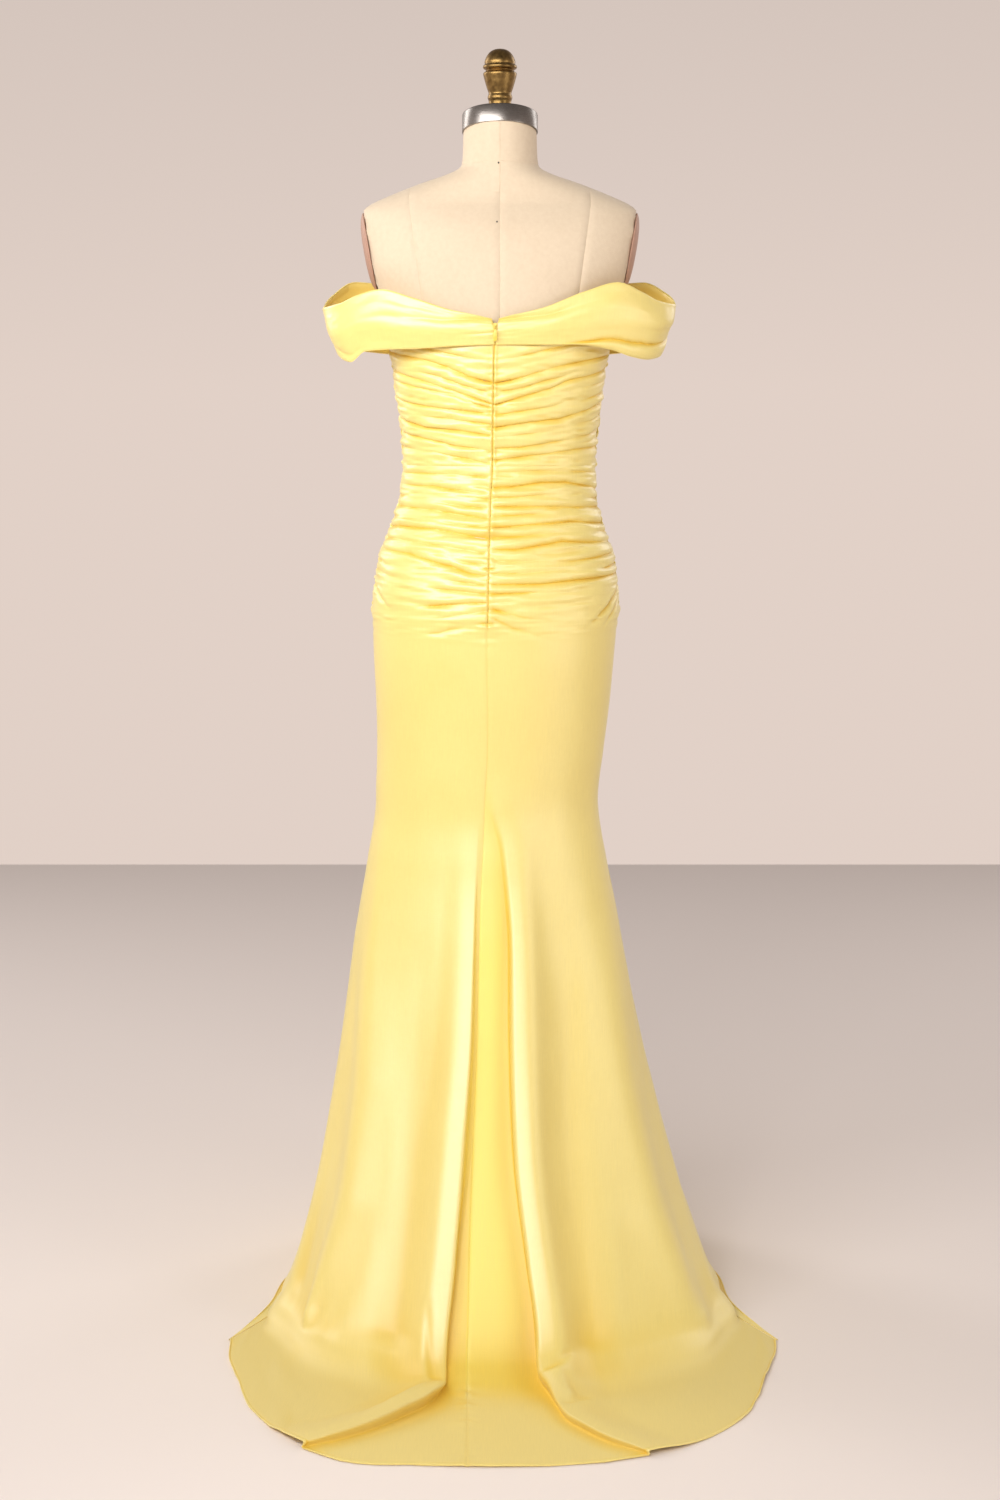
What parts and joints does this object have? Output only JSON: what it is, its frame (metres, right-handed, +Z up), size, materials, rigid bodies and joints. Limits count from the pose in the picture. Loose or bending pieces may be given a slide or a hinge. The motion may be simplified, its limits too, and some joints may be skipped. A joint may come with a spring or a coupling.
{
  "type": "off-shoulder satin maxi dress on a limbless dress form",
  "caption": "Off-shoulder satin maxi dress with ruched bodice, draped band, back zip and short train, on a limbless dress form that stands on its own base.",
  "frame": {"origin": "on the floor, at the centre of the underside of the dress form's round base", "axes": "+Z up, +Y to the front of the garment (the train runs to -Y), +X to the wearer's right"},
  "size_m": [0.7264, 0.9011, 1.6964],
  "materials": {
    "satin": "pale yellow satin, soft gloss",
    "zip": "dyed yellow zip chain, enamelled slider and pull",
    "linen": "cream linen cover, matt",
    "arm_plate": "pinkish brown painted board",
    "neck_band": "brushed nickel",
    "brass": "turned, dark old brass",
    "pole": "plain steel tube",
    "base": "black painted cast iron"
  },
  "bodies": {
    "dress_and_form": {"bodice_back_left": "satin", "bodice_back_right": "satin", "bodice_front": "satin", "skirt_back_left": "satin", "skirt_back_right": "satin", "skirt_front": "satin", "band_back_left": "satin", "band_back_right": "satin", "band_front": "satin", "zip_chain": "zip", "zip_slider": "zip", "zip_bridge": "zip", "form_torso": "linen", "form_arm_plate_left": "arm_plate", "form_arm_plate_right": "arm_plate", "form_neck_band": "neck_band", "form_finial": "brass", "stand_pole": "pole", "stand_base": "base"},
    "pull": {"zip_pull": "zip"}
  },
  "joints": [
    {"name": "pull_swing", "type": "hinge", "parent": "dress_and_form", "child": "pull", "pos_m": [-0.00646, -0.11509, 1.328], "axis": [-1, 0, 0], "range_deg": [0, 160]}
  ]
}
